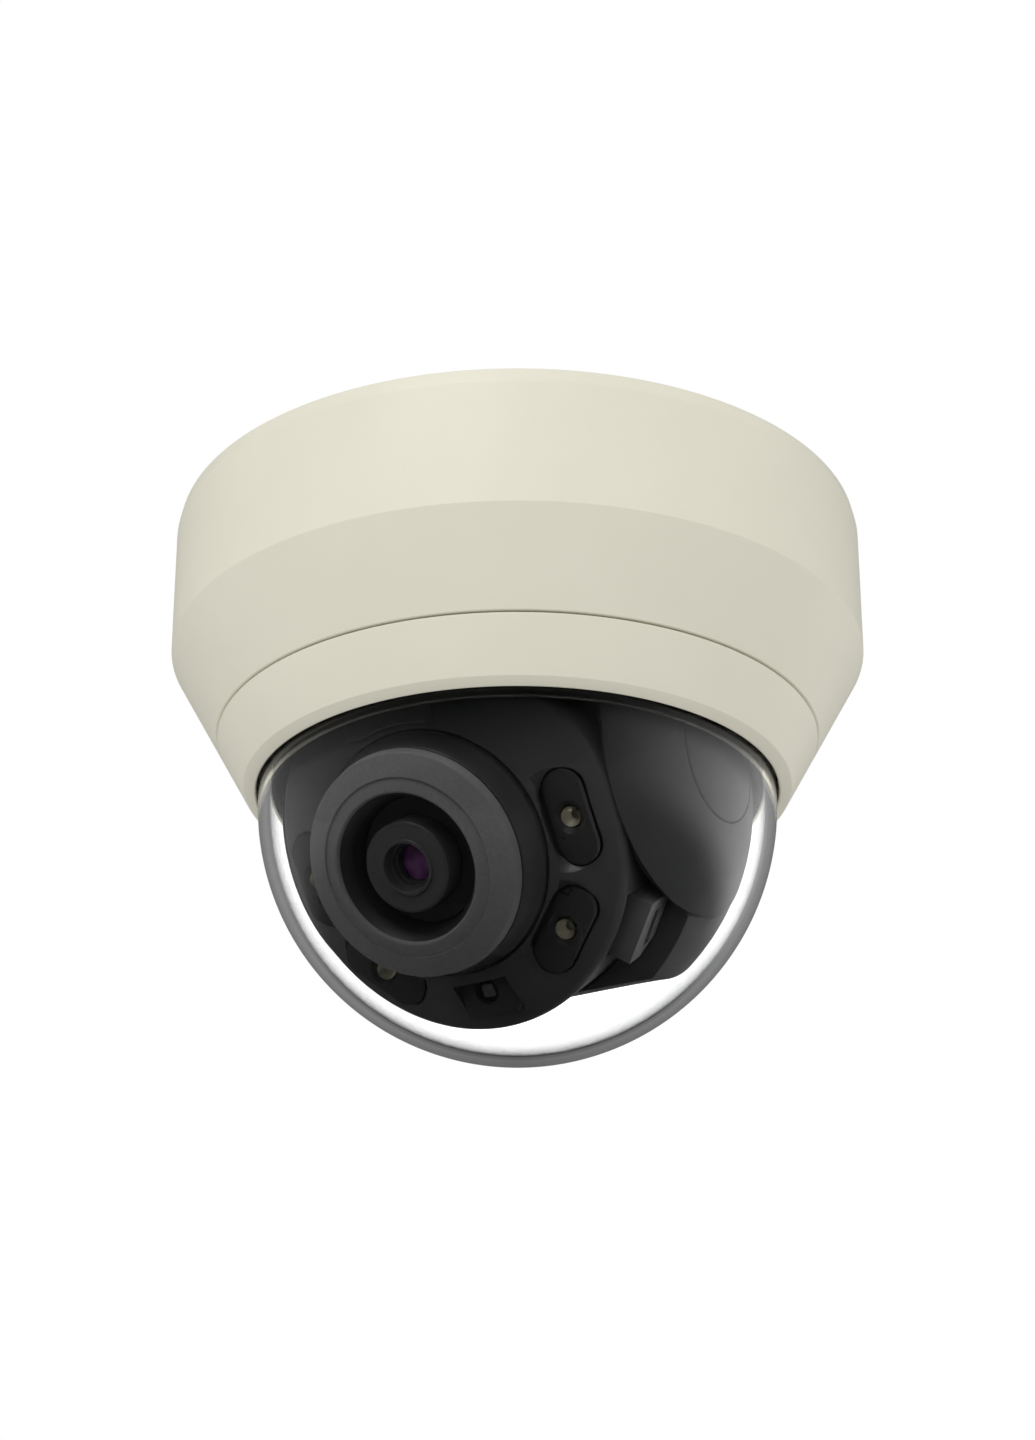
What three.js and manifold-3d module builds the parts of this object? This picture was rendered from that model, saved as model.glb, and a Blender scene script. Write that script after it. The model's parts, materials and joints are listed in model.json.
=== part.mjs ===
// A ceiling dome camera: an ivory housing with a clear bubble, and a camera head inside that pans,
// tilts and rotates. Millimetres, +Z up. The origin is the centre of the ceiling face, and everything
// hangs below it, at negative Z.
import * as THREE from "three";
import { mergeVertices } from "three/addons/utils/BufferGeometryUtils.js";
import Module from "manifold-3d";

const wasm = await Module();
wasm.setup();

// ---- Driving dimensions ----

// Housing
const coverRadius = 60; // outer radius of the straight wall
const coverTopDraft = 0.6; // how much narrower the rim at the ceiling is
const coverTopBand = 2.6; // height of that rim
const coverWallHeight = 24.6; // from the ceiling to the foot of the straight wall
const coverWall = 2; // thickness of the cover and of the trim ring
const seamDepth = 39.5; // below the ceiling, where the trim ring starts
const seamGap = 0.3;
const lipRadius = 46.8; // where the cone ends
const lipDepth = 48.65;
const lipChamfer = 1.15; // height of the lip's slanted face

// Dome
const domeRadius = 44.19;
const domeWall = 2;
const domeDepth = 51.2; // the bubble's centre, below the ceiling
const domeFlangeWidth = 2.1;
const domeFlangeHeight = 1.5;
const sealHeight = 1;

// Head, in the tilt frame: X along the tilt axis, Y up, Z forward along the lens
const panAngle = 32.5; // degrees, the way the head looks at rest
const tiltAngle = 34.3; // degrees below the horizontal at rest
const headGap = 2.1; // between the head's sphere and the inside of the bubble
const shellCornerRadius = 31.1; // widest point of the front shell
const shellCornerHeight = 25; // where it is along the lens axis
const faceCurve = 60.5; // radius of the slightly domed face
const shellWall = 1.8;
const shellBack = 8; // where the front shell ends and the rear shell starts
const drumRadius = 33.4; // rear shell, round the tilt axis
const rearDepth = 24; // the rear shell's flat back
const earPlane = 31.4; // inner face of each ear, along the tilt axis
const pivotCapRadius = 10.8;

// Lens group
const collarRadius = 20;
const collarTopRadius = 18.65;
const collarHeight = 35.4;
const foamRadius = 18.2;
const foamBore = 12.3;
const foamGap = 0.4; // between the foam ring and the bubble
const barrelRadius = 7.4;
const barrelFront = 39.2;
const barrelBore = 3.9;
const barrelThread = 6;

// LEDs
const ledPitchRadius = 24.4;
const ledAngles = [0, -45, -135, 180]; // degrees, round the lens axis
const ledWindowLength = 15.6;
const ledWindowWidth = 6.8;
const ledRadius = 1.7;

// Pan mechanism
const panBaseDepth = 18.6;
const panPlate = 2;
const hubRadius = 33;
const hubWall = 1.5;
const yokeRingRadius = 43;
const yokeRingHeight = 3.3;
const retainerLip = 2.2;
const armWidth = 24;
const armThickness = 2.4;

// Base and electronics
const baseRadius = 57.6;
const basePlateThickness = 2.5;
const baseRimRadius = 55.2;
const baseRimWall = 1.6;
const baseRimHeight = 12;
const cableHoleRadius = 11;
const cableHoleOffset = 31;
const lugHeight = 2;
const lugWidth = 16; // degrees
const boardRadius = 47.5;
const boardThickness = 1.6;
const boardDepth = 15.6; // the board's upper face
const legCircle = 50.5;
const legRadius = 2.6;
const screwRadius = 1.5;

// Clearances
const slip = 0.3; // between pieces that touch
const ringSteps = 60; // facets round the housing
const midSteps = 48;
const smallSteps = 24;
const screwSteps = 12;

// ---- Values worked out from them ----

const degrees = Math.PI / 180;
const coneSlope = (coverRadius - lipRadius) / (lipDepth - coverWallHeight);
const coneAt = (depth) => coverRadius - coneSlope * (depth - coverWallHeight);
const coneWall = coverWall * Math.hypot(1, coneSlope);
const lipInner = domeRadius + 0.36;
const lipBottom = lipDepth + lipChamfer;
const domeInner = domeRadius - domeWall;
const headRadius = domeInner - headGap;
const earRadius = headRadius;
const foamReach = domeInner - foamGap;
const flangeRadius = domeRadius + domeFlangeWidth;
const ledgeDepth = lipBottom - 3.8;
const flangeBottom = ledgeDepth - slip - sealHeight - slip;
const flangeTop = flangeBottom - domeFlangeHeight;
const faceAt = (r) => Math.sqrt(faceCurve ** 2 - r ** 2) - faceOffset;
const faceOffset = Math.sqrt(faceCurve ** 2 - shellCornerRadius ** 2) - shellCornerHeight;
const ledFace = faceAt(ledPitchRadius) - 0.6; // outer face of the LED windows
const ledWindowThickness = 1;
const yokeTop = panBaseDepth + panPlate + slip;
const yokeBottom = yokeTop + yokeRingHeight;
const armX = earPlane + 0.6; // inner face of the yoke's arms

// ---- Helpers: geometry in, geometry out ----

// Position only, shared corners merged, faces pointing out.
function welded(geometry) {
  const plain = geometry.clone();
  plain.deleteAttribute("normal");
  plain.deleteAttribute("uv");
  return mergeVertices(plain, 1e-4);
}

function solidOf(geometry) {
  const mesh = welded(geometry);
  const vertProperties = mesh.attributes.position.array;
  const triVerts = new Uint32Array(mesh.index.array);
  const solid = new wasm.Manifold(new wasm.Mesh({ numProp: 3, vertProperties, triVerts }));
  if (solid.volume() > 0) return solid;
  for (let i = 0; i < triVerts.length; i += 3) {
    [triVerts[i + 1], triVerts[i + 2]] = [triVerts[i + 2], triVerts[i + 1]];
  }
  return new wasm.Manifold(new wasm.Mesh({ numProp: 3, vertProperties, triVerts }));
}

function geometryOf(solid) {
  const mesh = solid.getMesh();
  const geometry = new THREE.BufferGeometry();
  const positions = new Float32Array(mesh.vertProperties);
  geometry.setAttribute("position", new THREE.BufferAttribute(positions, 3));
  geometry.setIndex(new THREE.BufferAttribute(new Uint32Array(mesh.triVerts), 1));
  geometry.computeVertexNormals();
  return geometry;
}

function cut(base, ...tools) {
  let solid = solidOf(base);
  for (const tool of tools) solid = solid.subtract(solidOf(tool));
  return geometryOf(solid);
}

function join(base, ...others) {
  let solid = solidOf(base);
  for (const other of others) solid = solid.add(solidOf(other));
  return geometryOf(solid);
}

function common(base, ...others) {
  let solid = solidOf(base);
  for (const other of others) solid = solid.intersect(solidOf(other));
  return geometryOf(solid);
}

// A profile of [radius, z] points turned round Z. A profile off the axis is closed on itself.
function turned(profile, steps = midSteps) {
  const points = profile.map(([r, z]) => new THREE.Vector2(r, z));
  const open = profile[0][0] > 0;
  if (open) points.push(points[0].clone());
  const geometry = new THREE.LatheGeometry(points, steps);
  geometry.rotateX(Math.PI / 2);
  return geometryOf(solidOf(geometry));
}

function ring(inner, outer, low, high, steps = midSteps) {
  const profile = [[inner, low], [outer, low], [outer, high], [inner, high]];
  return turned(profile, steps);
}

function rod(radius, low, high, steps = smallSteps) {
  const geometry = new THREE.CylinderGeometry(radius, radius, high - low, steps);
  geometry.rotateX(Math.PI / 2);
  geometry.translate(0, 0, (high + low) / 2);
  return geometry;
}

function block(x0, x1, y0, y1, z0, z1) {
  const geometry = new THREE.BoxGeometry(x1 - x0, y1 - y0, z1 - z0);
  geometry.translate((x0 + x1) / 2, (y0 + y1) / 2, (z0 + z1) / 2);
  return geometry;
}

function prism(shape, low, high, curveSegments = 8) {
  const settings = { depth: high - low, bevelEnabled: false, curveSegments };
  const geometry = new THREE.ExtrudeGeometry(shape, settings);
  geometry.translate(0, 0, low);
  return geometry;
}

function moved(geometry, x, y, z) {
  return geometry.clone().translate(x, y, z);
}

function turnedBy(geometry, angle) {
  return geometry.clone().rotateZ(angle * degrees);
}

// From extruding along Z to extruding along X: the shape's x and y become Y and Z.
function alongX(geometry) {
  return geometry.clone().rotateX(Math.PI / 2).rotateZ(Math.PI / 2);
}

// Points of an arc about the origin, from one angle to another, in degrees.
function arc(radius, from, to, steps, cx = 0, cy = 0) {
  const points = [];
  for (let i = 0; i <= steps; i++) {
    const a = (from + ((to - from) * i) / steps) * degrees;
    points.push([cx + radius * Math.cos(a), cy + radius * Math.sin(a)]);
  }
  return points;
}

function outline(points) {
  return new THREE.Shape(points.map(([x, y]) => new THREE.Vector2(x, y)));
}

// A slot shape with round ends, its long side along Y.
function slot(length, width) {
  const half = (length - width) / 2;
  const shape = new THREE.Shape();
  shape.absarc(0, half, width / 2, 0, Math.PI, false);
  shape.absarc(0, -half, width / 2, Math.PI, 2 * Math.PI, false);
  shape.closePath();
  return shape;
}

// A sector of a ring, centred on an angle.
function sector(inner, outer, low, high, centre, width) {
  const from = centre - width / 2;
  const to = centre + width / 2;
  const points = arc(outer, from, to, 4).concat(arc(inner, to, from, 4));
  return prism(outline(points), low, high);
}

// A screw whose head faces up: head on top, shank below.
function screw(headRadius, headHeight, length) {
  const head = rod(headRadius, 0, headHeight, screwSteps);
  const shank = rod(screwRadius, -length, 0.1, screwSteps);
  const socket = rod(headRadius * 0.45, headHeight * 0.5, headHeight + 1, 6);
  return cut(join(head, shank), socket);
}

// ---- Materials ----

const finish = (color, roughness, metalness = 0) =>
  new THREE.MeshStandardMaterial({ color, roughness, metalness });
const ivory = () => finish(0xe6e3d3, 0.55);
const blackPlastic = () => finish(0x1d1d1e, 0.5);
const steel = () => finish(0xb9bcc0, 0.35, 1);
const boardGreen = () => finish(0x1c4a2e, 0.5);

function clear() {
  const material = finish(0xffffff, 0.05);
  material.transparent = true;
  material.opacity = 0.25;
  return material;
}

function piece(name, geometry, material) {
  const mesh = new THREE.Mesh(geometry, material);
  mesh.name = name;
  return mesh;
}

const camera = new THREE.Group();

// ---- Cover assembly: cover, trim ring, bubble, seal, retainer ----

const lugAngles = [90, 210, 330];
const lugOverlap = 2; // how far the cover's lugs reach in over the base's

function coverShell() {
  const inner = coverRadius - coverWall;
  const shell = turned([
    [coverRadius - coverTopDraft, 0],
    [inner, 0],
    [inner, -coverWallHeight + 0.5],
    [coneAt(seamDepth) - coneWall, -seamDepth],
    [coneAt(seamDepth), -seamDepth],
    [coverRadius - 0.15, -coverWallHeight - 0.3],
    [coverRadius, -coverWallHeight + 0.1],
    [coverRadius, -coverTopBand],
  ], ringSteps);
  const low = -(baseRimHeight - lugHeight - slip);
  const lugs = lugAngles.map((angle) =>
    sector(baseRadius - lugOverlap, inner + 0.5, low, low + lugHeight, angle, lugWidth - 2));
  return join(shell, ...lugs);
}

const retainerTop = flangeTop - slip - 2;
const retainerScrew = { circle: 45.6, boss: 1.9, head: 1.6, bore: 0.9, angles: [30, 150, 270] };
const tabUnder = retainerTop - 1; // the retainer's tabs stand on the trim ring's bosses
const tabHeight = 1.2;

function retainerPlaces(geometry) {
  return retainerScrew.angles.map((angle) => turnedBy(moved(geometry, retainerScrew.circle, 0, 0), angle));
}

function trimRing() {
  const top = seamDepth + seamGap;
  const tongueOuter = coneAt(seamDepth) - coneWall - slip;
  const tongueInner = tongueOuter - 1.5;
  const body = turned([
    [coneAt(top), -top],
    [tongueOuter, -top],
    [tongueOuter, -top + 3],
    [tongueInner, -top + 3],
    [tongueInner, -top - 1],
    [flangeRadius + slip, -(flangeTop - 0.5)],
    [flangeRadius + slip, -ledgeDepth],
    [lipInner, -ledgeDepth],
    [lipInner, -lipBottom],
    [lipRadius, -lipDepth],
  ], ringSteps);
  const bosses = retainerPlaces(rod(retainerScrew.boss, -flangeTop + slip, -tabUnder - slip, 16));
  const bores = retainerPlaces(rod(retainerScrew.bore + 0.1, -flangeTop + 1, 0, 12));
  return cut(join(body, ...bosses), ...bores);
}

// A point of the bubble's section, moved down to its place and, at the pole, onto the axis.
function inBubble([r, z]) {
  return [Math.abs(r) < 1e-6 ? 0 : r, z - domeDepth];
}

function domeBubble() {
  const outer = arc(domeRadius, 0, -90, 9);
  const inner = arc(domeInner, -90, 0, 9);
  return turned([
    ...inner.map(inBubble),
    [domeInner, -flangeTop],
    [flangeRadius, -flangeTop],
    [flangeRadius, -flangeBottom],
    [domeRadius, -flangeBottom],
    ...outer.map(inBubble),
  ], midSteps);
}

function domeRetainer() {
  const skirt = domeInner - slip;
  const skirtFoot = domeDepth - 1;
  const outer = flangeRadius - 0.4;
  const plate = turned([
    [skirt - 0.9, -skirtFoot],
    [skirt, -skirtFoot],
    [skirt, -(flangeTop - slip)],
    [outer, -(flangeTop - slip)],
    [outer, -retainerTop],
    [skirt - 0.9, -retainerTop],
  ], midSteps);
  const tabRoom = coneAt(seamDepth) - coneWall - 1.5 - slip * 2 - 0.2;
  const tabOuter = Math.min(tabRoom, retainerScrew.circle + 2.3);
  const tabs = retainerScrew.angles.map((angle) =>
    sector(skirt + 1, tabOuter, -retainerTop - 0.5, -tabUnder + tabHeight, angle, 9));
  const room = retainerPlaces(rod(retainerScrew.boss + slip, -60, -tabUnder, 16));
  const bores = retainerPlaces(rod(retainerScrew.bore + 0.1, -60, 0, 12));
  return cut(join(plate, ...tabs), ...room, ...bores);
}

// ---- Assembly of the fixed parts ----

function basePlate() {
  const under = -basePlateThickness;
  const rimInner = baseRimRadius - baseRimWall;
  let plate = turned([
    [0, 0],
    [baseRadius, 0],
    [baseRadius, under],
    [baseRimRadius, under],
    [baseRimRadius, -baseRimHeight],
    [rimInner, -baseRimHeight],
    [rimInner, under],
    [0, under],
  ], ringSteps);
  const lugTop = -(baseRimHeight - lugHeight);
  const lugs = lugAngles.map((angle) =>
    sector(baseRimRadius - 0.5, baseRadius, lugTop - lugHeight, lugTop, angle, lugWidth));
  const bosses = boardScrewAngles.map((angle) =>
    turnedBy(moved(rod(3, -boardDepth + slip, under + 0.5, 16), boardScrewCircle, 0, 0), angle));
  plate = join(plate, ...lugs, ...bosses);
  const holes = [moved(rod(cableHoleRadius, under - 1, 1, 32), 0, cableHoleOffset, 0)];
  for (const angle of ceilingSlotAngles) {
    const mountSlot = prism(slot(12, 4.6), under - 1, 1, 6);
    holes.push(turnedBy(moved(mountSlot, ceilingSlotCircle, 0, 0), angle));
  }
  for (const angle of legAngles) {
    const hole = rod(screwRadius + 0.2, under - 1, 1, 16);
    const sink = rod(3.3, -1.6, 1, 16);
    holes.push(turnedBy(moved(join(hole, sink), legCircle, 0, 0), angle));
  }
  for (const angle of boardScrewAngles) {
    const hole = rod(screwRadius + 0.2, -boardDepth - 1, -boardDepth + 6, 12);
    holes.push(turnedBy(moved(hole, boardScrewCircle, 0, 0), angle));
  }
  return cut(plate, ...holes);
}

const boardScrewAngles = [20, 160, 270];
const boardScrewCircle = 43;
const ceilingSlotAngles = [0, 180];
const ceilingSlotCircle = 33;
const legAngles = [50, 130, 250];

function mainBoard() {
  const low = -boardDepth - boardThickness;
  const notch = moved(rod(cableHoleRadius + 4, low - 1, -boardDepth + 1, 24), 0, cableHoleOffset + 7, 0);
  const hole = moved(rod(screwRadius + 0.2, low - 1, -boardDepth + 1, 12), boardScrewCircle, 0, 0);
  const holes = boardScrewAngles.map((angle) => turnedBy(hole, angle));
  return cut(rod(boardRadius, low, -boardDepth, midSteps), notch, ...holes);
}

const jack = { width: 16, length: 21, height: 11.6, mouthY: 17 };

function networkJack() {
  const low = -boardDepth + slip;
  const back = jack.mouthY - jack.length;
  const body = block(-jack.width / 2, jack.width / 2, back, jack.mouthY, low, low + jack.height);
  const mouth = block(-5.95, 5.95, jack.mouthY - 13, jack.mouthY + 1, low + 2, low + 8.8);
  const keyway = block(-3, 3, jack.mouthY - 13, jack.mouthY + 1, low + 8, low + 10.4);
  return cut(body, join(mouth, keyway));
}

function panBase() {
  const top = -panBaseDepth;
  const plate = turned([
    [hubRadius - hubWall, top],
    [baseRimRadius - baseRimWall - slip, top],
    [baseRimRadius - baseRimWall - slip, top - panPlate],
    [hubRadius, top - panPlate],
    [hubRadius, -yokeBottom],
    [hubRadius - hubWall, -yokeBottom],
  ], midSteps);
  const legs = legAngles.map((angle) =>
    turnedBy(moved(rod(legRadius, top - 1, -basePlateThickness - slip, 16), legCircle, 0, 0), angle));
  const holes = legAngles.map((angle) =>
    turnedBy(moved(rod(screwRadius + 0.1, -basePlateThickness - 8, 0, 12), legCircle, 0, 0), angle));
  return cut(join(plate, ...legs), ...holes);
}

const baseBody = new THREE.Group();
const onBoard = -boardDepth + slip; // where parts stand on the board's upper face

baseBody.add(piece("base_plate", basePlate(), finish(0x9a9c9e, 0.5, 0.6)));
const grommetHole = cableHoleRadius - slip;
const grommet = moved(turned([
  [grommetHole - 2.5, -0.2],
  [grommetHole, -0.2],
  [grommetHole, -basePlateThickness - slip],
  [grommetHole + 1.6, -basePlateThickness - slip],
  [grommetHole + 1.6, -basePlateThickness - 1.8],
  [grommetHole - 2.5, -basePlateThickness - 1.8],
], 32), 0, cableHoleOffset, 0);
baseBody.add(piece("cable_grommet", grommet, finish(0x202122, 0.8)));

legAngles.forEach((angle, i) => {
  const chassisScrew = moved(screw(2.8, 1.1, 7), legCircle, 0, -1.5);
  baseBody.add(piece(`chassis_screw_${i + 1}`, turnedBy(chassisScrew, angle), steel()));
});
baseBody.add(piece("main_board", mainBoard(), boardGreen()));
boardScrewAngles.forEach((angle, i) => {
  const boardScrew = screw(2.8, 0.9, 6).rotateX(Math.PI);
  const placed = moved(boardScrew, boardScrewCircle, 0, -boardDepth - boardThickness - 0.15);
  baseBody.add(piece(`board_screw_${i + 1}`, turnedBy(placed, angle), steel()));
});
baseBody.add(piece("network_jack", networkJack(), steel()));

const terminal = cut(
  block(14, 26, 4, 14, onBoard, onBoard + 8),
  block(15.5, 19.2, 6, 15, onBoard + 1.5, onBoard + 5.5),
  block(20.8, 24.5, 6, 15, onBoard + 1.5, onBoard + 5.5));
baseBody.add(piece("power_terminal", terminal, finish(0x2f7d46, 0.5)));
const cardSlot = cut(
  block(-31, -16, -8, 7, onBoard, onBoard + 1.9),
  block(-29.3, -17.7, -9, 5.5, onBoard + 0.4, onBoard + 1.5));
baseBody.add(piece("sd_slot", cardSlot, steel()));
const card = block(-29, -18, -10.5, 4.5, onBoard + 0.6, onBoard + 1.3);
baseBody.add(piece("sd_card", card, finish(0x19191a, 0.5)));
baseBody.add(piece("processor", block(-8, 8, -28, -12, onBoard, onBoard + 1.8), finish(0x1b1c1e, 0.4)));
const sinkLow = onBoard + 1.8 + slip;
const finPlaces = [-9, -5.6, -2.2, 1.2, 4.6, 8];
const fins = finPlaces.map((x) => block(x - 0.5, x + 0.7, -29, -11, sinkLow + 1, sinkLow + 6));
const heatSink = join(block(-9.5, 9.5, -29, -11, sinkLow, sinkLow + 1.5), ...fins);
baseBody.add(piece("heat_sink", heatSink, finish(0xa8abae, 0.4, 1)));
const button = { x: 26, y: -18, half: 3, height: 3.4, stem: 1.7, travel: 0.3 };
const switchBody = cut(
  block(button.x - button.half, button.x + button.half, button.y - button.half, button.y + button.half,
    onBoard, onBoard + button.height),
  moved(rod(button.stem + 0.2, onBoard + 1.2, onBoard + 6, 16), button.x, button.y, 0));
baseBody.add(piece("reset_switch", switchBody, steel()));

baseBody.add(piece("pan_base", panBase(), blackPlastic()));
const panRetainer = turned([
  [hubRadius - hubWall, -yokeBottom - slip],
  [hubRadius + retainerLip, -yokeBottom - slip],
  [hubRadius + retainerLip, -yokeBottom - slip - 1.5],
  [hubRadius - hubWall, -yokeBottom - slip - 1.5],
], midSteps);
baseBody.add(piece("pan_retainer", panRetainer, blackPlastic()));
camera.add(baseBody);

// ---- The button that moves on its own ----

const buttonRod = rod(button.stem, onBoard + 1.6, onBoard + button.height + 1.4, 16);
const resetButton = moved(buttonRod, button.x, button.y, 0);
camera.add(piece("reset_button", resetButton, finish(0x2a2a2b, 0.6)));

// ---- Cover assembly ----

const coverBody = new THREE.Group();
coverBody.add(piece("cover", coverShell(), ivory()));
coverBody.add(piece("trim_ring", trimRing(), ivory()));
coverBody.add(piece("dome_bubble", domeBubble(), clear()));
const sealLow = -(ledgeDepth - slip);
const seal = ring(domeRadius + 0.4, flangeRadius - 0.1, sealLow, sealLow + sealHeight, midSteps);
coverBody.add(piece("dome_seal", seal, finish(0x141415, 0.85)));
coverBody.add(piece("dome_retainer", domeRetainer(), blackPlastic()));
retainerPlaces(smallScrew()).forEach((geometry, i) => {
  const placed = moved(geometry, 0, 0, -tabUnder + tabHeight + 0.1);
  coverBody.add(piece(`retainer_screw_${i + 1}`, placed, steel()));
});
camera.add(coverBody);

function smallScrew() {
  const head = rod(retainerScrew.head, 0, 0.9, screwSteps);
  const shank = rod(retainerScrew.bore - 0.1, -3.6, 0.1, screwSteps);
  return cut(join(head, shank), rod(0.7, 0.4, 2, 6));
}

// ---- Pan body: yoke, ear covers, pivot caps and screws ----

const pan = new THREE.Group();
pan.rotation.z = -panAngle * degrees;
const headAbove = -domeDepth; // the head's centre
const earSkin = 1.8;
const pivotHole = 2.8;

// One arm, on the +X side: down from the ring, in under the retainer, then down past the pivot.
function yokeArm() {
  const half = armWidth / 2;
  const outer = earRadius - earSkin - slip;
  const inner = hubRadius + retainerLip + slip;
  const top = -(yokeBottom - 0.5);
  const jog = -(yokeBottom + 3);
  const upper = common(ring(inner, outer, jog - 2, top, ringSteps), block(0, 60, -half, half, jog - 3, 0));
  const web = common(
    block(armX, outer, -half, half, jog - 2, jog),
    rod(outer, jog - 3, jog + 1, ringSteps));
  const shape = outline([
    [-half, jog - 1],
    ...arc(half, 180, 360, 14, 0, headAbove),
    [half, jog - 1],
  ]);
  const plate = alongX(prism(shape, armX, armX + armThickness));
  const hole = alongX(prism(outline(arc(pivotHole, 0, 345, 23, 0, headAbove)), armX - 1, armX + 6));
  return cut(join(upper, web, plate), hole);
}

function mirroredX(geometry) {
  const solid = solidOf(geometry).mirror([1, 0, 0]);
  return geometryOf(solid);
}

const yokeRing = ring(hubRadius + slip, yokeRingRadius, -yokeBottom, -yokeTop, ringSteps);
pan.add(piece("yoke", join(yokeRing, yokeArm(), mirroredX(yokeArm())), blackPlastic()));

// A ball below the head's centre and a straight wall above it.
function earSolid(radius, top, steps) {
  const curve = arc(radius, -90, 0, 10).map(([r, z]) => [Math.max(r, 0) < 1e-6 ? 0 : r, z + headAbove]);
  return turned([...curve, [radius, top], [0, top]], steps);
}

const earTop = -(yokeBottom + slip);
const capSeat = pivotCapRadius + slip;

function earCover() {
  const inside = earSolid(earRadius - earSkin, earTop + 1, ringSteps);
  const skin = cut(earSolid(earRadius, earTop, ringSteps), inside);
  const keep = block(earPlane, 60, -40, 40, -120, 0);
  const bossShape = outline(arc(capSeat + 1.4, 0, 350, 35, 0, headAbove));
  const boss = common(
    alongX(prism(bossShape, armX + armThickness + slip, 60)),
    earSolid(earRadius - 0.5, earTop, ringSteps));
  const holeShape = outline(arc(capSeat, 0, 350, 35, 0, headAbove));
  return cut(join(common(skin, keep), boss), alongX(prism(holeShape, 30, 60)));
}

function pivotCap() {
  const shape = outline(arc(pivotCapRadius, 0, 350, 35, 0, headAbove));
  return common(
    alongX(prism(shape, armX + armThickness + 2, 60)),
    earSolid(earRadius - 0.1, earTop, ringSteps));
}

const pivotScrew = moved(screw(5, 1.6, 7.6).rotateY(Math.PI / 2), armX + armThickness + 0.15, 0, headAbove);
pan.add(piece("ear_cover_right", earCover(), blackPlastic()));
pan.add(piece("ear_cover_left", mirroredX(earCover()), blackPlastic()));
pan.add(piece("pivot_cap_right", pivotCap(), blackPlastic()));
pan.add(piece("pivot_cap_left", mirroredX(pivotCap()), blackPlastic()));
pan.add(piece("pivot_screw_right", pivotScrew, steel()));
pan.add(piece("pivot_screw_left", mirroredX(pivotScrew), steel()));
camera.add(pan);

// ---- Tilt body, about the head's centre ----

const tilt = new THREE.Group();
tilt.position.z = headAbove;
tilt.rotation.x = (90 + tiltAngle) * degrees;
pan.add(tilt);

const collarHole = collarRadius + slip;

// Outer edge of the front shell from its centre hole to its back, moved in by an amount.
function shellEdge(inset, from, back) {
  const face = [];
  const faceEnd = shellCornerRadius - 1.5;
  for (let i = 0; i <= 5; i++) {
    const r = from + ((faceEnd - from) * i) / 5;
    face.push([r, faceAt(r) - inset]);
  }
  return [
    ...face,
    [shellCornerRadius - 0.6 - inset * 0.45, shellCornerHeight + 0.15 - inset * 0.9],
    [shellCornerRadius - 0.05 - inset * 0.8, shellCornerHeight - 0.6 - inset * 0.6],
    [shellCornerRadius + 0.15 - inset, shellCornerHeight - 1.6 - inset * 0.3],
    [shellCornerRadius + 0.1 - inset, back],
  ];
}

function ledWindowShape(grow) {
  return slot(ledWindowLength + grow * 2, ledWindowWidth + grow * 2);
}

function onPitch(geometry, angle) {
  return turnedBy(moved(geometry, ledPitchRadius, 0, 0), angle);
}

const latchAngle = 39; // below the tilt axis, on the right
const sensor = { radius: 24.3, hole: 2.1, angle: -90 };
const bezelHalf = 5; // half the width of the sensor's panel
const bezelLow = -28.3;
const bezelHigh = -22.4;
const strip = { left: -9.6, right: 7.2, low: 18, high: 31, height: 0.9 };

const latchShape = { inside: 29.6, halfWidth: 5.4, low: shellBack + 6, high: shellCornerHeight - 2 };
const latchTab = { top: 34.4, shorter: 1.8, slotFloor: 33.2, slotLow: 16.6, slotHigh: 18 };

function latchTool(grow) {
  const { inside, halfWidth, low, high } = latchShape;
  const wide = halfWidth + grow;
  const reach = block(inside - grow, 45, -wide, wide, low - grow, high + grow);
  return turnedBy(reach, -latchAngle);
}

function frontShell() {
  const outside = shellEdge(0, collarHole, shellBack);
  const inside = shellEdge(shellWall, collarHole, shellBack).reverse();
  let shell = turned([...outside, ...inside], midSteps);
  const pad = common(
    block(strip.left, strip.right, strip.low + 2.6, strip.high + 0.5, shellBack + 4, shellCornerHeight + 6),
    turned([
      [collarHole + 1, faceAt(collarHole + 1) + strip.height],
      [26, faceAt(26) + strip.height],
      [shellCornerRadius - 1, shellCornerHeight + 0.8],
      [shellCornerRadius + 0.7, shellCornerHeight - 1],
      [shellCornerRadius + 0.7, shellBack + 4],
      [shellCornerRadius - 1, shellBack + 4],
      [shellCornerRadius - 1, shellCornerHeight - 3],
      [shellCornerRadius - 2, shellCornerHeight - 0.3],
      [26, faceAt(26) - 1],
      [collarHole + 1, faceAt(collarHole + 1) - 1],
    ], midSteps));
  shell = join(shell, pad);
  const holes = [];
  for (const angle of ledAngles) {
    holes.push(onPitch(prism(ledWindowShape(slip), shellBack, 40, 6), angle));
    holes.push(onPitch(prism(ledWindowShape(0.9), ledFace + 0.1, 40, 6), angle));
  }
  holes.push(block(-bezelHalf, bezelHalf, bezelLow - slip, bezelHigh + slip, 10, 40));
  holes.push(latchTool(slip));
  return cut(shell, ...holes);
}

// Profile across the tilt axis of the rear shell: x is Y (up), y is Z (forward).
function rearOutline(inset, front) {
  const low = drumRadius - inset;
  const high = 26 - inset;
  const back = -(rearDepth - inset);
  const lowStart = 180 - Math.asin(front / low) / degrees;
  const lowEnd = 180 - Math.asin(back / low) / degrees;
  const highStart = Math.asin(back / high) / degrees;
  const highEnd = Math.asin(5.5 / high) / degrees;
  const corner = inset > 0 ? [[high, front]] : [];
  return [...arc(low, lowStart, lowEnd, 9), ...arc(high, highStart, highEnd, 10), ...corner];
}

const cheekFront = shellBack + 5.4; // how far its cheeks reach forward, round the front shell

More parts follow.
